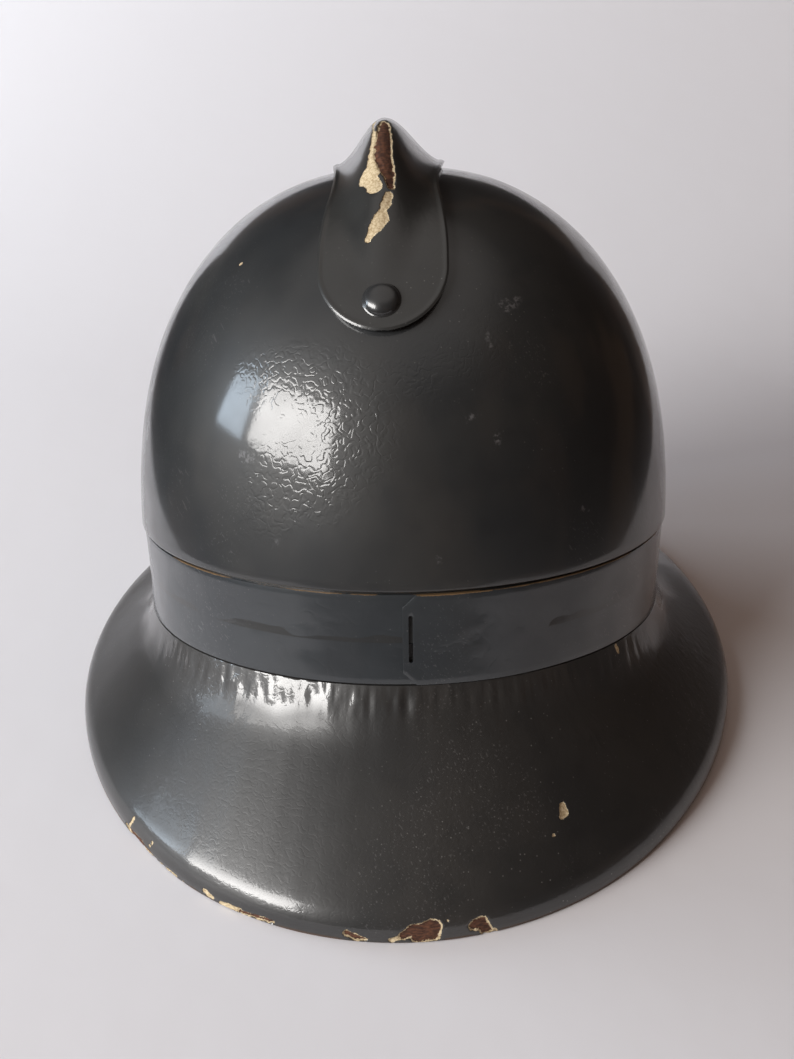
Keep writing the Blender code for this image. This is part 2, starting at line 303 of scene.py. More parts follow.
def make_wrinkle_group():
    """Old brushed gloss: winding creases where the coats pulled, and finer orange peel elsewhere."""
    tree, start, end = new_group(
        "paint_wrinkles",
        (("Vector", "NodeSocketVector", None), ("Crease Size", "NodeSocketFloat", 260.0),
         ("Pull", "NodeSocketFloat", 0.3)),
        (("Height", "NodeSocketFloat"),),
    )
    vector = start.outputs["Vector"]
    plates = place_node(tree, "ShaderNodeTexNoise", Vector=vector, Scale=start.outputs["Crease Size"],
                        Detail=0.6, Distortion=0.45).outputs["Fac"]
    crease = ramp(tree, reckon(tree, "ABSOLUTE", reckon(tree, "SUBTRACT", plates, 0.5)), 0.0, 0.11)
    crease = reckon(tree, "ADD", crease, times(tree, plates, 1.2))
    patch = ramp(tree, cloud(tree, vector, 20.0, 2.0), 0.48, 0.70, 0.0, 0.5)
    pull = reckon(tree, "MAXIMUM", start.outputs["Pull"], patch)
    peel_size = times(tree, start.outputs["Crease Size"], 3.1)
    peel = place_node(tree, "ShaderNodeTexNoise", Vector=vector, Scale=peel_size, Detail=2.0)
    fine = times(tree, peel.outputs["Fac"], 0.16)
    height = reckon(tree, "MULTIPLY_ADD", crease, pull, fine)
    tree.links.new(height, end.inputs["Height"])
    return tree


def make_dust_group():
    """Dust specks caught in the paint and fine scratches on it, as two masks."""
    tree, start, end = new_group(
        "dust_and_scratches",
        (("Vector", "NodeSocketVector", None), ("Speck Size", "NodeSocketFloat", 700.0),
         ("Specks", "NodeSocketFloat", 0.5)),
        (("Speck Mask", "NodeSocketFloat"), ("Scratch Mask", "NodeSocketFloat")),
    )
    vector = start.outputs["Vector"]
    cells = place_node(tree, "ShaderNodeTexVoronoi", Vector=vector, Scale=start.outputs["Speck Size"])
    picked = place_node(tree, "ShaderNodeSeparateColor", Color=cells.outputs["Color"])
    rare = reckon(tree, "GREATER_THAN", picked.outputs["Red"], 0.86)
    dot = ramp(tree, cells.outputs["Distance"], 0.10, 0.22, 1.0, 0.0)
    patches = ramp(tree, cloud(tree, vector, 18.0, 3.0), 0.40, 0.70)
    specks = times(tree, times(tree, rare, dot), patches)
    tree.links.new(times(tree, specks, start.outputs["Specks"]), end.inputs["Speck Mask"])
    lines = None
    for turn in ((0.9, 0.5, 0.3), (0.4, -0.9, 0.8), (-0.7, 0.6, -0.5)):
        turned = place_node(tree, "ShaderNodeMapping", Vector=vector, Rotation=turn).outputs["Vector"]
        thin = ramp(tree, cloud(tree, stretch(tree, turned, (1500.0, 110.0, 1500.0)), 1.0, 0.0), 0.76, 0.80)
        lines = thin if lines is None else reckon(tree, "MAXIMUM", lines, thin)
    where = ramp(tree, cloud(tree, vector, 22.0, 1.0), 0.56, 0.66)
    tree.links.new(times(tree, lines, where), end.inputs["Scratch Mask"])
    return tree


def make_ragged_group():
    """Add noise to a distance in millimetres, so that what is measured from it has a ragged outline."""
    tree, start, end = new_group(
        "ragged_gap",
        (("Vector", "NodeSocketVector", None), ("Gap", "NodeSocketFloat", 5.0),
         ("Coarse", "NodeSocketFloat", 1.8), ("Fine", "NodeSocketFloat", 0.9)),
        (("Gap", "NodeSocketFloat"),),
    )
    total = start.outputs["Gap"]
    for scale, amount in ((330.0, "Coarse"), (1500.0, "Fine")):
        wobble = reckon(tree, "SUBTRACT", cloud(tree, start.outputs["Vector"], scale, 1.0), 0.5)
        total = reckon(tree, "MULTIPLY_ADD", wobble, start.outputs[amount], total)
    tree.links.new(total, end.inputs["Gap"])
    return tree


paint_wrinkles = make_wrinkle_group()
dust_and_scratches = make_dust_group()
ragged_gap = make_ragged_group()

filler_cream = (0.60, 0.50, 0.33)
fibre_brown = (0.045, 0.017, 0.009)
inside_brown = (0.100, 0.055, 0.030)


def read_value(tree, name):
    """An attribute of the mesh."""
    return place_node(tree, "ShaderNodeAttribute", {"attribute_name": name}).outputs["Fac"]


def read_gap(tree, vector, name, coarse, fine):
    """A distance attribute of the mesh, in millimetres, with a ragged outline."""
    return use_group(tree, ragged_gap, Vector=vector, Gap=read_value(tree, name), Coarse=coarse,
                     Fine=fine).outputs["Gap"]


def paint_over(name, colour, tint, marks=(), crease_size=240.0, crease_depth=0.00005, specks=0.5,
               coat_roughness=0.10, haze=0.42, streaks=False, dull_slope=0.0):
    """Glossy paint over cream filler over brown fibre.

    marks names the distance attributes that the mesh has: deep (worn to the fibre, with a cream border),
    shallow (worn to the filler), worn (a rubbed edge), rubs (pale scuffs on the paint) and pulls (where
    the paint is creased most).
    """
    material = bpy.data.materials.new(name)
    material.use_nodes = True
    tree = material.node_tree
    shader = tree.nodes["Principled BSDF"]
    vector = tree.nodes.new("ShaderNodeTexCoord").outputs["Object"]

    shade = cloud(tree, vector, 14.0, 3.0)
    mottle = cloud(tree, vector, 90.0, 2.0)
    paint = blend_colours(tree, ramp(tree, shade, 0.35, 0.68), colour, tint)
    dull = tuple(part * 0.72 for part in colour)
    paint = blend_colours(tree, ramp(tree, mottle, 0.45, 0.75, 0.0, 0.35), paint, dull)
    dust = use_group(tree, dust_and_scratches, Vector=vector, Specks=specks)
    paint = blend_colours(tree, times(tree, dust.outputs["Speck Mask"], 0.5), paint,
                          (0.30, 0.30, 0.29))
    paint = blend_colours(tree, times(tree, dust.outputs["Scratch Mask"], 0.15), paint,
                          (0.26, 0.26, 0.26))
    rough = ramp(tree, shade, 0.3, 0.7, haze - 0.06, haze + 0.08)
    if "rubs" in marks:
        rub = ramp(tree, read_gap(tree, vector, "rubs", 3.0, 2.0), -1.2, 0.6, 1.0, 0.0)
        rub = times(tree, rub, ramp(tree, cloud(tree, vector, 800.0, 2.0), 0.42, 0.62))
        paint = blend_colours(tree, times(tree, rub, 0.42), paint, (0.20, 0.20, 0.21))

    surface = paint
    gloss = ramp(tree, mottle, 0.3, 0.7, 0.80, 1.0)
    step = None
    gaps = []
    if "shallow" in marks:
        gaps.append(read_gap(tree, vector, "shallow", 1.4, 0.7))
    if "deep" in marks:
        gaps.append(read_gap(tree, vector, "deep", 1.4, 0.7))
    if "worn" in marks:
        worn = read_gap(tree, vector, "worn", 0.8, 0.8)
        surface = blend_colours(tree, ramp(tree, worn, -0.2, 0.1, 1.0, 0.0), surface, (0.17, 0.105, 0.05))
    for gap in gaps:
        step = gap if step is None else reckon(tree, "MINIMUM", step, gap)
    if gaps:
        bare = ramp(tree, step, -0.10, 0.04, 1.0, 0.0)
        grain = cloud(tree, vector, 1300.0, 3.0)
        cream = blend_colours(tree, ramp(tree, grain, 0.35, 0.7), filler_cream, (0.36, 0.27, 0.15))
        surface = blend_colours(tree, bare, surface, cream)
        rough = reckon(tree, "MAXIMUM", rough, times(tree, bare, 0.85))
        gloss = times(tree, gloss, reckon(tree, "SUBTRACT", 1.0, bare))
        step = ramp(tree, step, -0.25, 0.10)
    if "deep" in marks:
        core = reckon(tree, "ADD", read_gap(tree, vector, "deep", 2.2, 1.0), 0.55)
        core = ramp(tree, core, -0.10, 0.04, 1.0, 0.0)
        streak = cloud(tree, stretch(tree, vector, (500.0, 500.0, 1500.0)), 1.0, 3.0)
        brown = blend_colours(tree, ramp(tree, streak, 0.35, 0.65), fibre_brown, (0.115, 0.045, 0.022))
        surface = blend_colours(tree, core, surface, brown)
        step = reckon(tree, "SUBTRACT", step, times(tree, core, 0.6))

    inside_mask = read_value(tree, "inside")
    fibre_grain = cloud(tree, stretch(tree, vector, (220.0, 220.0, 900.0)), 1.0, 3.0)
    within = blend_colours(tree, fibre_grain, inside_brown, tuple(part * 0.55 for part in inside_brown))
    surface = blend_colours(tree, inside_mask, surface, within)
    rough = reckon(tree, "MAXIMUM", rough, times(tree, inside_mask, 0.8))
    gloss = times(tree, gloss, reckon(tree, "SUBTRACT", 1.0, inside_mask))
    if dull_slope:
        kept = ramp(tree, read_value(tree, "rubbed"), 0.0, 1.0, 1.0, 1.0 - dull_slope)
        gloss = times(tree, gloss, kept)
    tree.links.new(surface, shader.inputs["Base Color"])
    tree.links.new(rough, shader.inputs["Roughness"])
    tree.links.new(gloss, shader.inputs["Coat Weight"])
    shader.inputs["Coat Roughness"].default_value = coat_roughness
    shader.inputs["Coat IOR"].default_value = 1.5

    wrinkles = use_group(tree, paint_wrinkles, Vector=vector)
    wrinkles.inputs["Crease Size"].default_value = crease_size
    if "pulls" in marks:
        pull = ramp(tree, read_gap(tree, vector, "pulls", 14.0, 0.0), -8.0, 7.0, 1.0, 0.0)
        tree.links.new(pull, wrinkles.inputs["Pull"])
    bump = place_node(tree, "ShaderNodeBump", Strength=1.0, Distance=crease_depth,
                      Height=wrinkles.outputs["Height"])
    if streaks:
        run = cloud(tree, stretch(tree, vector, (300.0, 300.0, 50.0)), 1.0, 2.0, 0.5)
        where = ramp(tree, shade, 0.48, 0.66)
        bump = place_node(tree, "ShaderNodeBump", Strength=1.0, Distance=0.00015,
                          Height=times(tree, run, where), Normal=bump.outputs["Normal"])
    if step is not None:
        bump = place_node(tree, "ShaderNodeBump", Strength=1.0, Distance=0.0004, Height=step,
                          Normal=bump.outputs["Normal"])
    tree.links.new(bump.outputs["Normal"], shader.inputs["Normal"])
    tree.links.new(bump.outputs["Normal"], shader.inputs["Coat Normal"])
    return material


def nearest_gap(place, strokes, limit):
    """How far a place lies outside the nearest stroke. A stroke is its span and its round spots, joined."""
    nearest = limit
    for span, spots in strokes:
        if (place - spots[0][0]).length - span > nearest:
            continue
        for (start, reach), (end, end_reach) in zip(spots, spots[1:] + spots[-1:]):
            line = end - start
            share = min(max((place - start).dot(line) / max(line.length_squared, 1e-12), 0.0), 1.0)
            gap = (place - start - line * share).length - reach - (end_reach - reach) * share
            nearest = min(nearest, gap)
    return nearest


def measure_gaps(piece, name, strokes, limit=0.005):
    """Write how far each vertex lies outside the nearest stroke, in millimetres."""
    write_values(piece, name, [nearest_gap(vertex.co, strokes, limit) * 1000
                               for vertex in piece.data.vertices])


def wear_lip(piece, is_lip):
    """Write an attribute that is below 0 where the paint has rubbed off a thin edge, in broken lengths."""
    values = []
    for vertex in piece.data.vertices:
        length = noise.noise(vertex.co * 28) + 0.4 * noise.noise(vertex.co * 120)
        values.append(min(max(-0.2 - 2.2 * length, -0.6), 1.0) if is_lip(vertex.co) else 4.0)
    write_values(piece, "worn", values)


def seen_strokes(piece, rows):
    """Strokes on a piece, from rows of (stroke number, pixel across, pixel down, radius in millimetres)."""
    points = seen_points(piece, [row[1:3] for row in rows])
    strokes = {}
    for point, row in zip(points, rows):
        if point is not None:
            strokes.setdefault(row[0], []).append((point, row[3] / 1000))
    return [(max((point - spots[0][0]).length + reach for point, reach in spots), spots)
            for spots in strokes.values()]


def thicken_mesh(piece, is_near, cuts):
    """Subdivide the faces whose middle passes a test, so that small forms can be cut into them."""
    pick(piece)
    bpy.ops.object.mode_set(mode="EDIT")
    bpy.ops.mesh.select_all(action="DESELECT")
    form = bmesh.from_edit_mesh(piece.data)
    for face in form.faces:
        if is_near(face.calc_center_median()):
            face.select_set(True)
    bmesh.update_edit_mesh(piece.data)
    bpy.ops.mesh.subdivide(number_cuts=cuts)
    bpy.ops.object.mode_set(mode="OBJECT")


def sink_chips(piece, name, depth):
    """Push the surface in where the paint has gone, with a ragged outline and a rough floor."""
    gaps = [value.value for value in piece.data.attributes[name].data]
    moves = []
    for vertex in piece.data.vertices:
        if gaps[vertex.index] < 1.0:
            outline = gaps[vertex.index] + 0.5 * noise.noise(vertex.co * 700)
            share = min(max(-outline / 0.5, 0.0), 1.0)
            floor = 1.0 + 0.25 * noise.noise(vertex.co * 900)
            moves.append((vertex.index, -vertex.normal * depth * share * floor))
    for index, move in moves:
        piece.data.vertices[index].co += move


def cut_chips(piece, deep, shallow, margin, cuts, deep_depth, shallow_depth):
    """Cut chips down to the fibre (deep) or to the filler alone (shallow) into a piece."""
    thicken_mesh(piece, lambda point: nearest_gap(point, deep + shallow, 1.0) < margin, cuts)
    measure_gaps(piece, "deep", deep)
    measure_gaps(piece, "shallow", shallow)
    sink_chips(piece, "deep", deep_depth)
    sink_chips(piece, "shallow", shallow_depth)


to_axis = (Matrix.Translation(crown_place) @ Matrix.Rotation(-crown_lean, 4, "X")).inverted()
wear_lip(crown_shell, lambda point: -0.00002 < (to_axis @ point).z < 0.00035
         and math.hypot((to_axis @ point).x, (to_axis @ point).y / length_ratio) > dome_radius - 0.0007)

crown_scuffs = seen_strokes(crown_shell, (
    # stroke, across, down, radius
    (1, 506, 305, 2.4), (1, 517, 301, 1.8), (2, 488, 334, 1.0), (2, 491, 349, 0.8), (3, 497, 436, 1.2),
    (3, 499, 444, 0.8), (4, 583, 508, 0.8), (4, 588, 513, 0.8), (5, 243, 456, 2.2), (5, 251, 460, 2.0),
    (6, 466, 420, 0.7), (6, 474, 416, 0.6), (7, 438, 560, 0.8), (8, 272, 548, 0.5), (8, 280, 538, 0.4),
))
crown_chips = seen_strokes(crown_shell, ((1, 241, 264, 0.6), (2, 141, 458, 0.5), (3, 441, 284, 0.9)))
crown_pulls = seen_strokes(crown_shell, (
    (1, 262, 372, 9.0), (1, 330, 392, 16.0), (1, 352, 440, 15.0), (1, 310, 470, 16.0), (1, 270, 500, 12.0),
    (2, 330, 392, 10.0), (2, 420, 380, 6.0),
))
thicken_mesh(crown_shell, lambda point: nearest_gap(point, crown_scuffs + crown_chips, 1.0) < 0.003, 3)
measure_gaps(crown_shell, "rubs", crown_scuffs)
measure_gaps(crown_shell, "shallow", crown_chips)
measure_gaps(crown_shell, "pulls", crown_pulls, 0.02)
smooth(crown_shell, 40)
crown_paint = paint_over("crown_paint", (0.020, 0.022, 0.024), (0.028, 0.028, 0.027),
                         marks=("shallow", "worn", "rubs", "pulls"), crease_size=380.0, crease_depth=0.000032)
crown_shell.data.materials.append(crown_paint)
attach(crown_shell, "root")
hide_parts("crown")


# Brim: one moulded skirt, steep and long at the rear as a neck guard and nearly level at the front.
# Its collar stands behind the band; it leaves the band steeply, flares out and rolls over at the rim.
brim_low, brim_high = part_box("brim")
brim_half_width = (brim_high.x - brim_low.x) / 2
brim_half_length = (brim_high.y - brim_low.y) / 2
band_height = 0.0328
band_taper = 0.985
brim_wall = 0.0032
rim_edge = 0.0028
rim_flat = 0.0034
rim_chamfer = 0.0005
side_lift = 0.0031
collar_top = -0.0186
brim_sides = 320

flare_table = (
    # run outwards, drop
    (0.000, 0.000), (0.050, 0.077), (0.110, 0.163), (0.170, 0.235), (0.240, 0.302), (0.370, 0.410),
    (0.544, 0.553), (0.700, 0.682), (0.835, 0.795), (0.920, 0.870), (0.960, 0.915), (0.988, 0.960),
    (1.000, 1.000),
)


class Oval:
    """A ring of the brim: half width, half length along its slope, slope, and middle."""

    def __init__(self, half_width, half_length, rise, middle):
        self.half_width = half_width
        self.slope = math.atan2(rise, half_length)
        self.half_length = math.hypot(half_length, rise)
        self.middle = Vector(middle)


def band_oval(radius, height):
    """An oval about the crown's axis, as it lies once the axis leans."""
    length = radius * length_ratio
    middle = crown_place + Matrix.Rotation(-crown_lean, 3, "X") @ Vector((0, 0, height))
    return Oval(radius, length * math.cos(crown_lean), length * math.sin(crown_lean), middle)


def rim_oval(inset, height):
    return Oval(brim_half_width - inset, brim_half_length - inset, 0.0, (0, 0, height))


def oval_between(start, end, run, drop):
    """The ring at a share of the run and the drop between two rings."""
    rise_start = start.half_length * math.sin(start.slope)
    rise_end = end.half_length * math.sin(end.slope)
    flat_start = start.half_length * math.cos(start.slope)
    flat_end = end.half_length * math.cos(end.slope)
    middle = Vector((0.0, start.middle.y + (end.middle.y - start.middle.y) * run,
                     start.middle.z + (end.middle.z - start.middle.z) * drop))
    return Oval(start.half_width + (end.half_width - start.half_width) * run,
                flat_start + (flat_end - flat_start) * run,
                rise_start + (rise_end - rise_start) * drop, middle)


def smooth_table(table, count):
    """More rows between a table's rows, on a smooth curve through them."""
    rows = [table[0], *table, table[-1]]
    finer = []
    for first, second, third, fourth in zip(rows, rows[1:], rows[2:], rows[3:]):
        for step in range(count):
            part = step / count
            finer.append(tuple(
                0.5 * (2 * b + (c - a) * part + (2 * a - 5 * b + 4 * c - d) * part ** 2
                       + (3 * b - a - 3 * c + d) * part ** 3)
                for a, b, c, d in zip(first, second, third, fourth)))
    return finer + [table[-1]]


def loft_ovals(name, ovals, sides):
    """Add a circle, shape it into the first oval, and extrude it from each oval to the next."""
    bpy.ops.object.select_all(action="DESELECT")
    bpy.ops.mesh.primitive_circle_add(vertices=sides, radius=1.0, location=(0, 0, 0))
    piece = bpy.context.object
    piece.name = piece.data.name = name
    bpy.ops.object.mode_set(mode="EDIT")
    bpy.ops.mesh.select_all(action="SELECT")
    form = bmesh.from_edit_mesh(piece.data)
    before = Matrix.Identity(4)
    for index, oval in enumerate(ovals):
        if index:
            bpy.ops.mesh.extrude_region_move()
        turn = Matrix.Rotation(-oval.slope, 4, "X")
        after = (Matrix.Translation(oval.middle) @ turn
                 @ Matrix.Diagonal((oval.half_width, oval.half_length, 1.0, 1.0)))
        change = after @ before.inverted()
        ring = [vertex for vertex in form.verts if vertex.select]
        bmesh.ops.transform(form, matrix=change, verts=ring)
        before = after
    bpy.ops.mesh.select_all(action="SELECT")
    bmesh.update_edit_mesh(piece.data)
    bpy.ops.object.mode_set(mode="OBJECT")
    return piece


def make_brim_rings():
    foot = -band_height - clearance
    taper = 1.0 + (1.0 - band_taper) * collar_top / band_height
    outer_start = band_oval(band_radius * band_taper, foot - clearance)
    outer_end = rim_oval(0.0, rim_edge)
    inner_start = band_oval(skirt_radius * band_taper - brim_wall, foot - brim_wall)
    inner_end = rim_oval(rim_flat, 0.0)
    rings = [band_oval(skirt_radius * taper, collar_top), band_oval(skirt_radius * band_taper, foot)]
    rings += [oval_between(outer_start, outer_end, run, drop) for run, drop in smooth_table(flare_table, 6)]
    rings += [rim_oval(0.0, rim_edge * 0.6), rim_oval(0.0, rim_chamfer), rim_oval(rim_chamfer, 0.0)]
    rings += [oval_between(inner_start, inner_end, run, drop)
              for run, drop in reversed(smooth_table(flare_table, 2))]
    rings.append(band_oval(skirt_radius * taper - brim_wall, collar_top))
    rings.append(rings[0])
    return rings


def lift_sides(piece):
    """Raise the rim a little at the sides, less and less towards the band."""
    for vertex in piece.data.vertices:
        reach = math.hypot(vertex.co.x / brim_half_width, vertex.co.y / brim_half_length)
        side = abs(vertex.co.x) / brim_half_width / max(reach, 0.01)
        rise = min(max((side - 0.5) / 0.5, 0.0), 1.0)
        out = min(max((reach - 0.80) / 0.20, 0.0), 1.0)
        vertex.co.z += side_lift * rise * rise * (3 - 2 * rise) * out


brim_skirt = loft_ovals("brim_skirt", make_brim_rings(), brim_sides)
face_outwards(merge=True)
lift_sides(brim_skirt)

# Places on the photo's rim and brim where the paint has gone: down to the fibre, or to the filler alone.
deep_chip_rows = (
    # stroke, across, down, radius
    (1, 127, 825, 1.0), (1, 133, 834, 1.8), (1, 140, 842, 2.0), (1, 147, 850, 1.4), (1, 155, 859, 0.9),
    (1, 166, 869, 0.7), (1, 176, 876, 0.6), (2, 240, 912, 1.0), (2, 251, 916, 1.2), (2, 262, 919, 1.3),
    (2, 272, 922, 1.0), (3, 347, 934, 1.4), (3, 354, 937, 1.7), (3, 366, 940, 0.8),
    (4, 404, 936, 1.8), (4, 413, 932, 2.6), (4, 423, 931, 3.0), (4, 433, 928, 3.2), (4, 434, 936, 2.6),
    (4, 416, 938, 2.2), (5, 474, 926, 2.0), (5, 482, 923, 2.4), (5, 486, 930, 2.4), (5, 474, 936, 1.3),
    (5, 462, 939, 0.7), (6, 91, 770, 0.6), (6, 96, 780, 0.5),
)
shallow_chip_rows = (
    (1, 134, 818, 0.7), (1, 130, 826, 0.6), (2, 205, 891, 1.2), (2, 212, 897, 0.8), (3, 221, 903, 0.8),
    (3, 231, 907, 1.3), (3, 240, 910, 1.0), (4, 183, 882, 0.5), (5, 391, 940, 1.0), (5, 400, 938, 0.9),
    (6, 448, 921, 0.6), (7, 493, 931, 1.3), (7, 501, 930, 0.8), (8, 563, 806, 1.3), (8, 564, 812, 1.8),
    (8, 562, 817, 1.1), (9, 616, 646, 0.8), (9, 618, 652, 0.7), (10, 554, 835, 0.5), (11, 152, 843, 0.8),
    (12, 150, 846, 0.5),
)


def brim_place(point):
    """A point's angle about the crown's axis from the rear, and how far it lies below the band."""
    place = to_axis @ point
    return math.atan2(place.x, -place.y / length_ratio), -place.z - band_height


def in_run_zone(point):
    angle, below = brim_place(point)
    return abs(angle) < 1.1 and 0.0006 < below < 0.016


def paint_runs(piece):
    """Sags of thick paint just under the band at the rear, and long soft puckers down the brim."""
    for vertex in piece.data.vertices:
        angle, below = brim_place(vertex.co)
        if abs(angle) > 1.3 or below < 0.0006 or vertex.normal.z < 0:
            continue
        fade = max(0.0, 1.0 - (angle / 1.3) ** 2)
        sag = math.exp(-((below - 0.0055) / 0.0050) ** 2)
        fold = 0.7 * noise.noise(Vector((angle * 26.0, below * 40.0, 0.3)))
        fold += 0.5 - 2.0 * abs(noise.noise(Vector((angle * 42.0, below * 60.0, 2.7))))
        pucker = noise.noise(Vector((angle * 22.0, below * 14.0, 5.1)))
        vertex.co += vertex.normal * fade * (0.00034 * sag * fold + 0.00010 * pucker)


thicken_mesh(brim_skirt, in_run_zone, 1)
paint_runs(brim_skirt)
cut_chips(brim_skirt, seen_strokes(brim_skirt, deep_chip_rows), seen_strokes(brim_skirt, shallow_chip_rows),
          margin=0.0015, cuts=4, deep_depth=0.00055, shallow_depth=0.00025)
# The coat is cut on the open slope, where the photo mirrors little; why it does so there is a guess.
write_values(brim_skirt, "rubbed", [
    min(max((vertex.co.z - 0.007) / 0.006, 0.0), 1.0)
    * min(max((brim_place(vertex.co)[1] - 0.005 - 0.005 * noise.noise(vertex.co * 60)) / 0.008, 0.0), 1.0)
    for vertex in brim_skirt.data.vertices])


def brim_looks_out(vertex):
    place = to_axis @ vertex.co
    return vertex.normal.z > -0.35 or place.z > -band_height


mark_inside(brim_skirt, brim_looks_out)
smooth(brim_skirt, 42)
brim_paint = paint_over("brim_paint", (0.022, 0.022, 0.022), (0.030, 0.028, 0.026),
                        marks=("deep", "shallow"), crease_size=420.0, crease_depth=0.000028, specks=0.9,
                        streaks=True, dull_slope=0.84)
brim_skirt.data.materials.append(brim_paint)
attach(brim_skirt, "root")
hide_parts("brim")


# Band: a flat fibre strip bound round the foot of the crown over the seam with the brim. Its free end,
# with two cut corners, laps over its own start at the rear, where an upright slot pierces the lap.
lap_side_offset = 0.0040
lap_length = 0.0260
lap_ramp = 0.0300
lap_corner = 0.0045
slot_length = 0.0168
slot_width = 0.0014
slot_inset = 0.0027
band_hollow = 0.00035
seam_gap = 0.0006
band_columns = 420
band_rows = 14


def ease(value):
    value = min(max(value, 0.0), 1.0)
    return value * value * (3 - 2 * value)


def band_point(arc, share):
    """A point on the band's outer face: arc runs from the free end, share from its top to its foot."""
    lap_angle = math.asin(lap_side_offset / band_radius)
    corner = lap_corner * max(0.0, 1.0 - arc / lap_corner)
    top = -clearance - seam_gap - corner
    foot = -band_height + corner
    height = top + (foot - top) * share
    lift = (band_thickness + clearance) * (1.0 - ease((arc - lap_length - lap_corner) / lap_ramp))
    hollow = band_hollow * math.sin(math.pi * min(max(-height / band_height, 0.0), 1.0))
    angle = lap_angle + arc / band_radius
    dent = 0.00016 * noise.noise(Vector((angle * 6.0, height * 160.0, 1.0)))
    dent += 0.00008 * noise.noise(Vector((angle * 15.0, height * 260.0, 4.0)))
    dent *= math.sin(math.pi * share)
    radius = band_radius * (1.0 + (1.0 - band_taper) * height / band_height) + lift * 0.8 - hollow + dent
    return Vector((radius * math.sin(angle), -radius * length_ratio * math.cos(angle), height))


bpy.ops.object.select_all(action="DESELECT")
bpy.ops.mesh.primitive_grid_add(x_subdivisions=band_columns, y_subdivisions=band_rows, size=1.0)
band_strip = bpy.context.object
band_strip.name = band_strip.data.name = "band_strip"
band_arc = math.tau * band_radius + lap_length
for vertex in band_strip.data.vertices:
    along = vertex.co.x + 0.5
    # The first columns stand close together, so that the cut corners come out straight.
    arc = band_arc * along ** 1.25
    vertex.co = band_point(arc, 0.5 - vertex.co.y)
wall = band_strip.modifiers.new("wall", "SOLIDIFY")
wall.thickness = band_thickness
wall.offset = -1.0
apply_modifiers(band_strip)
face_outwards(merge=False)

slot_angle = math.asin(lap_side_offset / band_radius) + slot_inset / band_radius
bpy.ops.object.select_all(action="DESELECT")
bpy.ops.mesh.primitive_cube_add(size=1.0, location=(band_radius * math.sin(slot_angle),
                                                    -band_radius * length_ratio * math.cos(slot_angle),
                                                    -band_height / 2))
slot_tool = bpy.context.object
slot_tool.scale = (slot_width, 0.008, slot_length)
bpy.ops.object.transform_apply(location=True, rotation=True, scale=True)
rounding = slot_tool.modifiers.new("round_ends", "BEVEL")
rounding.width = slot_width * 0.45
rounding.segments = 3
apply_modifiers(slot_tool)
pierce = band_strip.modifiers.new("slot", "BOOLEAN")
pierce.object = slot_tool
pierce.operation = "DIFFERENCE"
pierce.solver = "EXACT"
apply_modifiers(band_strip)
bpy.data.objects.remove(slot_tool, do_unlink=True)
edge = band_strip.modifiers.new("rubbed_edges", "BEVEL")
edge.width = 0.00015
edge.segments = 2
edge.limit_method = "ANGLE"
edge.angle_limit = math.radians(50)
apply_modifiers(band_strip)
mark_inside(band_strip, lambda vertex: True)
wear_lip(band_strip, lambda point: point.z > -clearance - seam_gap - 0.0002)
stand_on_axis(band_strip)
smooth(band_strip, 35)
band_paint = paint_over("band_paint", (0.019, 0.023, 0.027), (0.025, 0.030, 0.034), crease_size=160.0,
                        crease_depth=0.00004, specks=0.4, coat_roughness=0.16, haze=0.44, marks=("worn",))
band_strip.data.materials.append(band_paint)
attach(band_strip, "root")
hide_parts("band")


# Comb: a saddle pressed from one sheet of fibre, with a raised ridge and a round tab at each end.
# It is held on by a rivet in each tab. The paint has worn off its ridge down to the brown fibre.
comb_half_length = 0.1127
comb_half_width = 0.0214
comb_wall = 0.0021
comb_clearance = 0.0004
ridge_height = 0.0152
ridge_lean = 0.0014
comb_side_offset = -0.0039
comb_skew = math.radians(1.0)
comb_end_share = 0.776
comb_bead = 0.00035
comb_columns = 170
comb_rows = 72

comb_table = (
    # along, width, ridge, spread
    (0.00, 0.960, 1.00, 1.00), (0.12, 0.920, 0.97, 1.00), (0.25, 0.870, 0.86, 1.00),
    (0.38, 0.860, 0.67, 0.98), (0.52, 0.930, 0.44, 0.88), (0.66, 0.990, 0.23, 0.66),
    (0.776, 1.00, 0.09, 0.50), (0.84, 1.000, 0.03, 0.40), (1.00, 1.000, 0.00, 0.40),
)


def read_table(table, place, column):
    """Read a column of a table on a smooth curve through its rows."""
    place = min(max(place, table[0][0]), table[-1][0])
    for index in range(len(table) - 1):
        if place <= table[index + 1][0]:
            break
    second, third = table[index], table[index + 1]
    first = table[max(index - 1, 0)]
    fourth = table[min(index + 2, len(table) - 1)]
    width = third[0] - second[0]
    part = (place - second[0]) / width
    lean_in = (third[column] - first[column]) / max(third[0] - first[0], 1e-6) * width
    lean_out = (fourth[column] - second[column]) / max(fourth[0] - second[0], 1e-6) * width
    square = part * part
    cube = square * part
    return ((2 * cube - 3 * square + 1) * second[column] + (cube - 2 * square + part) * lean_in
            + (3 * square - 2 * cube) * third[column] + (cube - square) * lean_out)


def dome_level(point):
    """Below 1 inside the crown's outer face, above 1 outside it."""
    plan = math.hypot(point.x / dome_radius, point.y / (dome_radius * length_ratio))
    return plan ** crown_fullness + max(point.z / crown_height, 0.0) ** crown_fullness


def dome_normal(point):
    plan = max(math.hypot(point.x / dome_radius, point.y / (dome_radius * length_ratio)), 1e-6)
    pull = plan ** (crown_fullness - 2)
    return Vector((pull * point.x / dome_radius ** 2,
                   pull * point.y / (dome_radius * length_ratio) ** 2,
                   (point.z / crown_height) ** (crown_fullness - 1) / crown_height)).normalized()


def drop_onto_dome(start, direction, reach):
    near, far = 0.0, reach
    for _ in range(30):
        middle = (near + far) / 2
        if dome_level(start + direction * middle) > 1.0:
            near = middle
        else:
            far = middle
    return start + direction * near


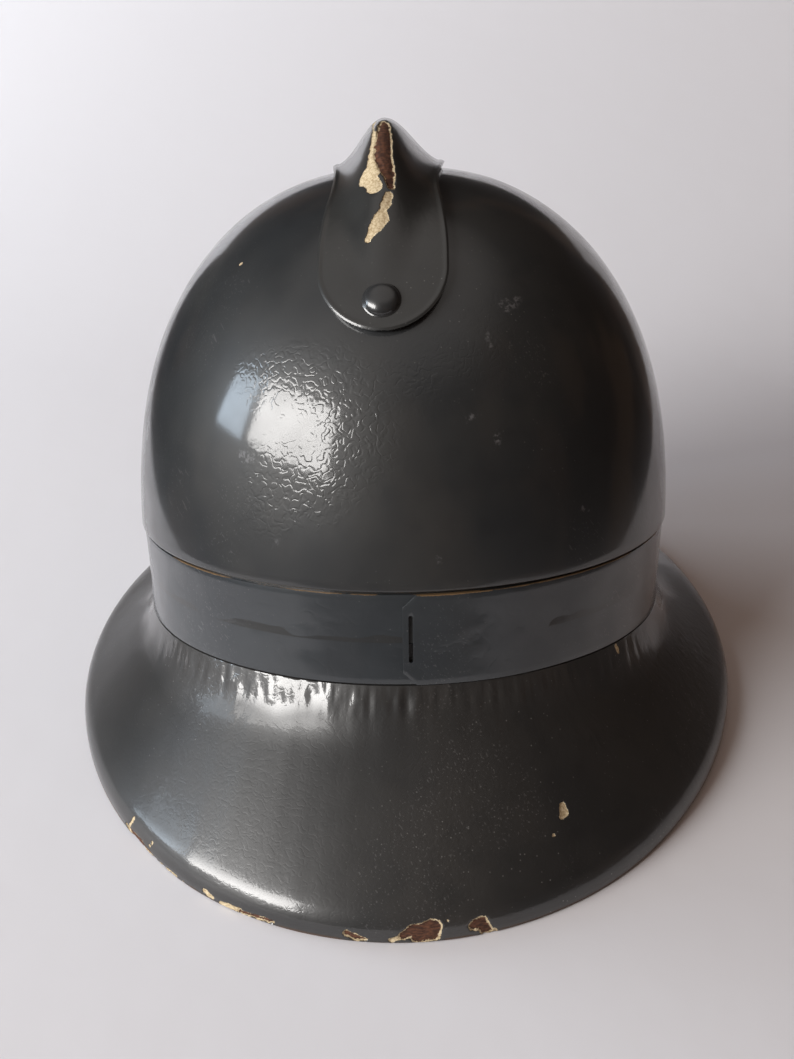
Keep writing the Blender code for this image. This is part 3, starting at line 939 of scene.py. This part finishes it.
dome_side = dome_curve(dome_radius * length_ratio, crown_height, 0.0, 400)
arc_rows = [(0.0, 0.0, crown_height)]
for before, after in zip(dome_side, dome_side[1:]):
    arc_rows.append((arc_rows[-1][0] + math.dist(before, after), *after))
arc_lengths = [row[0] for row in arc_rows]


def comb_frame(along):
    """Where the comb's middle line lies on the dome at a distance from the top, and which way is out."""
    place = abs(along)
    low = min(max(bisect_left(arc_lengths, place) - 1, 0), len(arc_rows) - 2)
    before, after = arc_rows[low], arc_rows[low + 1]
    part = (place - before[0]) / (after[0] - before[0])
    reach = before[1] + (after[1] - before[1]) * part
    height = before[2] + (after[2] - before[2]) * part
    point = Vector((0.0, reach if along > 0 else -reach, height))
    return point, dome_normal(point)


def comb_edge_gap(along, across):
    """How far a place on the comb lies from its outline."""
    straight = comb_half_length * comb_end_share
    if abs(along) <= straight:
        return comb_width(along) - abs(across)
    past = (abs(along) - straight) / (comb_half_length - straight)
    return comb_half_width * (1.0 - math.hypot(past, across / comb_half_width))


def comb_point(along, across):
    """A point of the comb's outer face."""
    base, outward = comb_frame(along)
    shift = comb_side_offset - math.tan(comb_skew) * base.y
    start = base + Vector((shift + across, 0, 0)) + outward * comb_half_width
    seat = drop_onto_dome(start, -outward, 3 * comb_half_width)
    seat += dome_normal(seat) * (comb_clearance + comb_wall)
    place = abs(along) / comb_half_length
    ridge = ridge_height * max(read_table(comb_table, place, 2), 0.0)
    foot = comb_half_width * read_table(comb_table, place, 1) * read_table(comb_table, place, 3)
    share = min(abs(across) / foot, 1.0)
    bell = (0.5 + 0.5 * math.cos(math.pi * share)) ** 1.1
    # Paint has gathered in a low bead along the edge.
    bead = comb_bead * math.exp(-((comb_edge_gap(along, across) - 0.0009) / 0.0007) ** 2)
    seat += dome_normal(seat) * bead
    return seat + outward * ridge * bell + Vector((-ridge_lean * bell * ridge / ridge_height, 0, 0))


def comb_width(along):
    """The comb's half width at a distance from the top, with its ends rounded off."""
    straight = comb_half_length * comb_end_share
    place = abs(along)
    if place <= straight:
        return comb_half_width * read_table(comb_table, place / comb_half_length, 1)
    past = min((place - straight) / (comb_half_length - straight), 1.0)
    return comb_half_width * math.sqrt(max(1.0 - past * past, 0.0))


bpy.ops.object.select_all(action="DESELECT")
bpy.ops.mesh.primitive_grid_add(x_subdivisions=comb_rows, y_subdivisions=comb_columns, size=2.0)
comb_saddle = bpy.context.object
comb_saddle.name = comb_saddle.data.name = "comb_saddle"
for vertex in comb_saddle.data.vertices:
    # A sine packs the rows towards the round ends, where the outline turns fastest.
    along = comb_half_length * math.sin(vertex.co.y * math.radians(87.5))
    share = math.sin(vertex.co.x * math.radians(80)) / math.sin(math.radians(80))
    vertex.co = comb_point(along, comb_width(along) * share)
face_outwards(merge=False)
if max(comb_saddle.data.polygons, key=lambda face: face.center.z).normal.z < 0:
    bpy.ops.object.mode_set(mode="EDIT")
    bpy.ops.mesh.flip_normals()
    bpy.ops.object.mode_set(mode="OBJECT")
wall = comb_saddle.modifiers.new("wall", "SOLIDIFY")
wall.thickness = comb_wall
wall.offset = -1.0
wall.use_even_offset = True
edge = comb_saddle.modifiers.new("edge", "BEVEL")
edge.width = 0.0007
edge.segments = 3
edge.limit_method = "ANGLE"
edge.angle_limit = math.radians(50)
apply_modifiers(comb_saddle)
mark_inside(comb_saddle, lambda vertex: True)
stand_on_axis(comb_saddle)

comb_deep = seen_strokes(comb_saddle, (
    # stroke, across, down, radius
    (1, 384, 122, 1.8), (1, 384, 132, 3.0), (1, 383, 143, 3.5), (1, 383, 154, 3.6), (1, 386, 165, 3.2),
    (1, 389, 175, 2.4), (1, 391, 186, 1.4),
))
comb_shallow = seen_strokes(comb_saddle, (
    (1, 375, 122, 1.0), (1, 374, 136, 0.9), (1, 372, 152, 1.6), (1, 374, 166, 3.4), (1, 368, 176, 4.2),
    (1, 364, 182, 2.0), (2, 368, 176, 3.0), (2, 374, 187, 3.0), (3, 389, 195, 1.6), (3, 386, 203, 1.9),
    (3, 383, 210, 1.2), (3, 381, 218, 2.8), (3, 375, 227, 2.6), (3, 371, 234, 1.7), (3, 368, 240, 1.2),
))
cut_chips(comb_saddle, comb_deep, comb_shallow, margin=0.001, cuts=2, deep_depth=0.00045,
          shallow_depth=0.00022)
smooth(comb_saddle, 40)
comb_paint = paint_over("comb_paint", (0.025, 0.026, 0.026), (0.031, 0.031, 0.029),
                        marks=("deep", "shallow"), crease_size=240.0, crease_depth=0.00004, specks=0.5,
                        coat_roughness=0.14, haze=0.40)
comb_saddle.data.materials.append(comb_paint)
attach(comb_saddle, "root")
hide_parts("comb")


# Rivets: one through each tab of the comb and the crown, with a domed head outside and a flat tail
# inside. They were painted over with the comb, so paint fills the corner under each head.
rivet_inset = 0.0108
rivet_head_radius = 0.0060
rivet_head_height = 0.0030
rivet_shank_radius = 0.0025
rivet_tail_radius = 0.0048
rivet_tail_height = 0.0012
rivet_tail_gap = 0.0011
rivet_paint = paint_over("rivet_paint", (0.025, 0.026, 0.027), (0.032, 0.032, 0.031), crease_size=300.0,
                         crease_depth=0.00003, specks=0.3, coat_roughness=0.12, haze=0.36)


def make_rivet(name, node, side):
    along = side * (comb_half_length - rivet_inset)
    base, outward = comb_frame(along)
    shift = comb_side_offset - math.tan(comb_skew) * base.y
    point = drop_onto_dome(base + Vector((shift, 0, 0)) + outward * comb_half_width, -outward,
                           3 * comb_half_width)
    outward = dome_normal(point)
    seat = comb_clearance + comb_wall + 0.00005
    tail = -shell_wall - rivet_tail_gap
    profile = []
    for step in range(17):
        turn = math.radians(86) * step / 16
        profile.append((rivet_head_radius * math.sin(turn), seat + rivet_head_height * math.cos(turn)))
    profile += [(rivet_head_radius + 0.0002, seat + 0.0001), (rivet_head_radius + 0.0005, seat - 0.0001),
                (rivet_shank_radius, seat - 0.0001), (rivet_shank_radius, tail), (rivet_tail_radius, tail),
                (rivet_tail_radius - 0.0003, tail - rivet_tail_height), (0.0, tail - rivet_tail_height)]
    rivet = turn_profile(name, profile, 64)
    settle(rivet, point, outward.to_track_quat("Z", "Y").to_euler())
    stand_on_axis(rivet)
    mark_inside(rivet, lambda vertex: True)
    smooth(rivet, 50)
    rivet.data.materials.append(rivet_paint)
    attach(rivet, "root")
    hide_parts(node)


make_rivet("rivet_rear", "rear_rivet", -1)
make_rivet("rivet_front", "front_rivet", 1)


# Stage: a pale paper sheet under the helmet, which curls up gently far behind it.
sheet_half_width = 0.31
sheet_front = -0.36
curl_start = 0.30
curl_radius = 0.95
curl_end = math.radians(42)
sheet_steps = 24

bpy.ops.object.select_all(action="DESELECT")
bpy.ops.mesh.primitive_plane_add(size=1.0, location=(0, (sheet_front + curl_start) / 2, 0))
paper = bpy.context.object
paper.name = paper.data.name = "paper_sheet"
paper.scale = (2 * sheet_half_width, curl_start - sheet_front, 1)
bpy.ops.object.transform_apply(location=True, rotation=True, scale=True)
bpy.ops.object.mode_set(mode="EDIT")
bpy.ops.mesh.select_all(action="DESELECT")
form = bmesh.from_edit_mesh(paper.data)
back_edge = max(form.edges, key=lambda edge: edge.verts[0].co.y + edge.verts[1].co.y)
back_edge.select_set(True)
bmesh.update_edit_mesh(paper.data)
for step in range(sheet_steps):
    start, end = (curl_end * place / sheet_steps for place in (step, step + 1))
    move = (0.0, curl_radius * (math.sin(end) - math.sin(start)),
            curl_radius * (math.cos(start) - math.cos(end)))
    bpy.ops.mesh.extrude_region_move(TRANSFORM_OT_translate={"value": move})
    bpy.ops.transform.resize(value=(1.028, 1, 1), center_override=(0, 0, 0))
bpy.ops.object.mode_set(mode="OBJECT")
smooth(paper, 40)
paper_material = bpy.data.materials.new("pale_paper")
paper_material.use_nodes = True
paper_tree = paper_material.node_tree
paper_shader = paper_tree.nodes["Principled BSDF"]
paper_vector = paper_tree.nodes.new("ShaderNodeTexCoord").outputs["Object"]
paper_shade = blend_colours(paper_tree, cloud(paper_tree, paper_vector, 3.0, 2.0), (0.68, 0.685, 0.72),
                            (0.72, 0.725, 0.76))
paper_tree.links.new(paper_shade, paper_shader.inputs["Base Color"])
paper_shader.inputs["Roughness"].default_value = 0.9
paper_shader.inputs["Specular IOR Level"].default_value = 0.2
paper_bump = place_node(paper_tree, "ShaderNodeBump", Strength=0.25, Distance=0.001,
                        Height=cloud(paper_tree, paper_vector, 40.0, 3.0))
paper_tree.links.new(paper_bump.outputs["Normal"], paper_shader.inputs["Normal"])
paper.data.materials.append(paper_material)


# Light: two window panes at the left, spill on the paper from the left, and the room, all set by the
# reflections in the photo and not by any knowledge of the room.
window_turn = math.radians(-35)
window_distance = 2.0


def add_panel(name, place, turn, width, height, power, colour):
    bpy.ops.object.select_all(action="DESELECT")
    bpy.ops.object.light_add(type="AREA", location=place, rotation=turn)
    panel = bpy.context.object
    panel.name = panel.data.name = name
    panel.data.shape = "RECTANGLE"
    panel.data.size = width
    panel.data.size_y = height
    panel.data.energy = power
    panel.data.color = colour
    return panel


def add_pane(name, start, end, foot, head, radiance, colour):
    """A pane of the window between two distances along it and two heights."""
    middle = (start + end) / 2
    place = (window_distance * math.sin(window_turn) + middle * math.cos(window_turn),
             -window_distance * math.cos(window_turn) + middle * math.sin(window_turn), (foot + head) / 2)
    power = radiance * math.pi * (end - start) * (head - foot)
    return add_panel(name, place, (math.radians(90), 0, window_turn), end - start, head - foot, power, colour)


def link_light(panel, piece, state):
    """Light one piece alone (INCLUDE) or all but that piece (EXCLUDE)."""
    linked = bpy.data.collections.new(panel.name + "_lights")
    linked.objects.link(piece)
    panel.light_linking.receiver_collection = linked
    linked.collection_objects[0].light_linking.link_state = state


pane_blue = (0.72, 0.86, 1.0)
pane_white = (1.0, 0.98, 0.96)
for pane in (add_pane("window_far_pane", -3.00, -1.80, 0.66, 1.66, 9.0, pane_blue),
             add_pane("window_near_pane", -1.60, 0.10, 0.72, 1.66, 15.5, pane_white)):
    link_light(pane, brim_skirt, "EXCLUDE")
# The brim has panes of its own, because no one window gave both its reflections and the crown's.
for pane in (add_pane("low_far_pane", -3.30, -1.80, 0.45, 1.15, 10.0, pane_blue),
             add_pane("low_near_pane", -1.60, 0.05, 0.45, 1.12, 20.0, pane_white)):
    link_light(pane, brim_skirt, "INCLUDE")
spill = add_panel("spill", (-1.5, 0.75, 0.75), (math.radians(62), 0, math.radians(-95)), 1.0, 0.8, 18.0,
                  (0.87, 0.94, 1.0))
spill.visible_glossy = False

# The room lights the paper warmly, and the paint mirrors its pale ceiling and its dark walls.
world = bpy.data.worlds.new("room")
world.use_nodes = True
room = world.node_tree
way = room.nodes.new("ShaderNodeTexCoord").outputs["Generated"]
up = place_node(room, "ShaderNodeSeparateXYZ", Vector=way).outputs["Z"]
ceiling = ramp(room, up, 0.66, 0.92)
furniture = ramp(room, cloud(room, way, 2.6, 2.0), 0.50, 0.62)
walls = blend_colours(room, furniture, (0.010, 0.009, 0.009), (0.060, 0.038, 0.026))
mirrored = blend_colours(room, ceiling, walls, (0.42, 0.39, 0.37))
path = room.nodes.new("ShaderNodeLightPath")
seen = blend_colours(room, path.outputs["Is Camera Ray"], (0.205, 0.145, 0.115), (0.80, 0.80, 0.82))
room_light = blend_colours(room, path.outputs["Is Glossy Ray"], seen, mirrored)
room.links.new(room_light, room.nodes["Background"].inputs["Color"])
room.nodes["Background"].inputs["Strength"].default_value = 1.0
bpy.context.scene.world = world
bpy.context.scene.view_settings.view_transform = "Standard"
